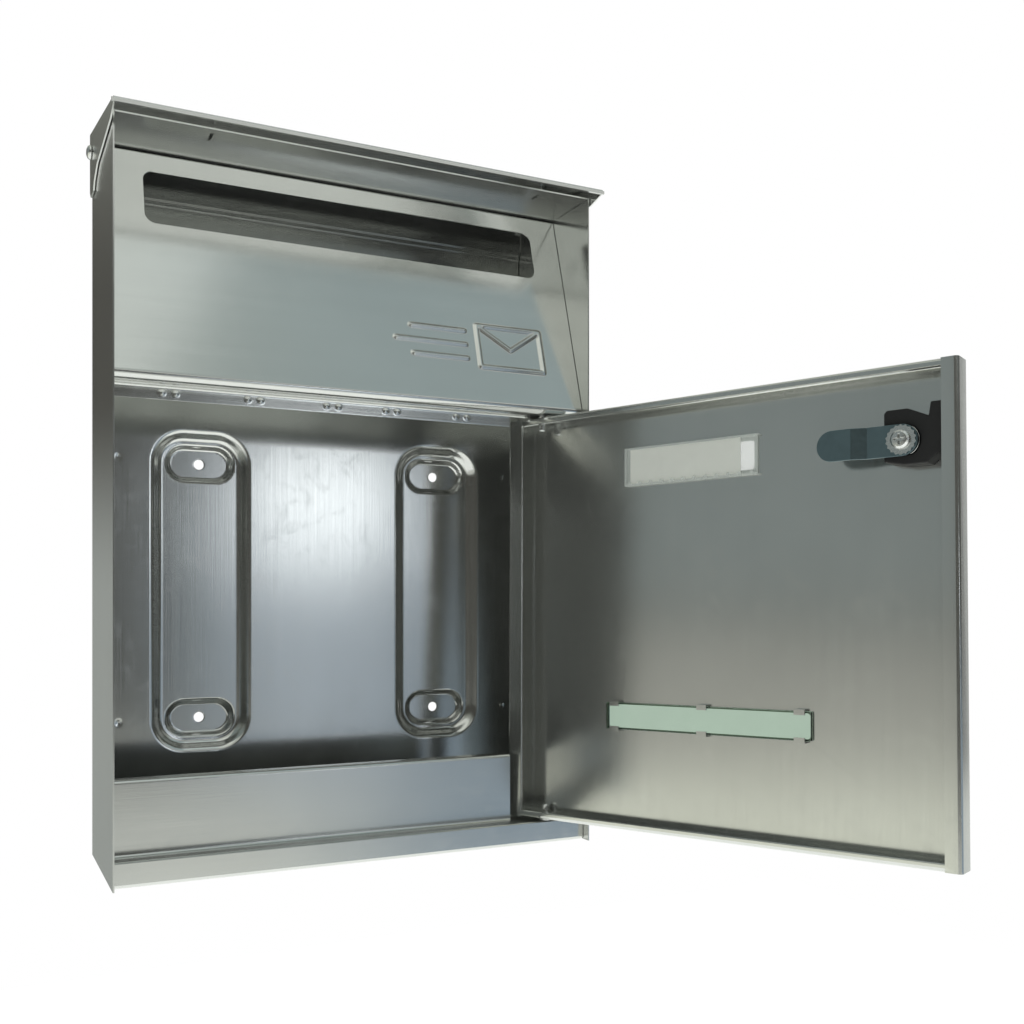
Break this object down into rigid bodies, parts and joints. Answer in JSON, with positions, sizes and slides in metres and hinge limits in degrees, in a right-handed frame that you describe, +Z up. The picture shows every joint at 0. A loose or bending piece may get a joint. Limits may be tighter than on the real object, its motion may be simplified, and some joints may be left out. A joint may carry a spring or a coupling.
{
  "type": "wall mounted mailbox",
  "caption": "Wall mounted mailbox in folded stainless sheet: inclined letter slot under a pivoting rain lid, side hung pan door with cam lock, name holder and view window.",
  "frame": {"origin": "centre of the square of four wall fixing holes, on the wall plane", "axes": "+X to the viewer's right, +Y into the wall, +Z up; the door and the letter slot face -Y"},
  "size_m": [0.3655, 0.3181, 0.412],
  "materials": {
    "brushed": "brushed stainless steel",
    "bright": "bright stainless steel",
    "nickel": "satin nickel plate",
    "zinc": "blue passivated zinc plate",
    "black_plastic": "moulded black plastic",
    "tinted_window": "clear plastic with a faint green tint",
    "clear_window": "clear plastic",
    "card": "plain card"
  },
  "bodies": {
    "root": {"back_panel": "brushed", "left_side_wall": "brushed", "right_side_wall": "brushed", "floor_panel": "brushed", "front_sill": "brushed", "top_panel": "brushed", "slot_panel": "brushed", "left_lid_rivet": "bright", "right_lid_rivet": "bright", "lower_hinge_pin": "bright", "upper_hinge_pin": "bright", "hinge_washer": "bright"},
    "lid": {"lid": "brushed"},
    "door": {"door_pan": "brushed", "view_window": "tinted_window", "name_window": "clear_window", "name_card": "card", "name_holder": "clear_window", "lock_barrel": "nickel", "lock_retainer": "black_plastic"},
    "lock_core": {"lock_plug": "nickel", "lock_cam": "zinc", "cam_washer": "bright", "cam_screw": "bright"}
  },
  "joints": [
    {"name": "lid", "type": "hinge", "parent": "root", "child": "lid", "pos_m": [0, -0.016, 0.2475], "axis": [-1, 0, 0], "range_deg": [0, 85]},
    {"name": "door", "type": "hinge", "parent": "root", "child": "door", "pos_m": [0.1125, -0.089, -0.016], "axis": [0, 0.0174, 0.9998], "range_deg": [-115, 8]},
    {"name": "lock_core", "type": "hinge", "parent": "door", "child": "lock_core", "pos_m": [0.21339, -0.28387, 0.07078], "axis": [0.9062, 0.4222, -0.0248], "range_deg": [0, 90]}
  ]
}
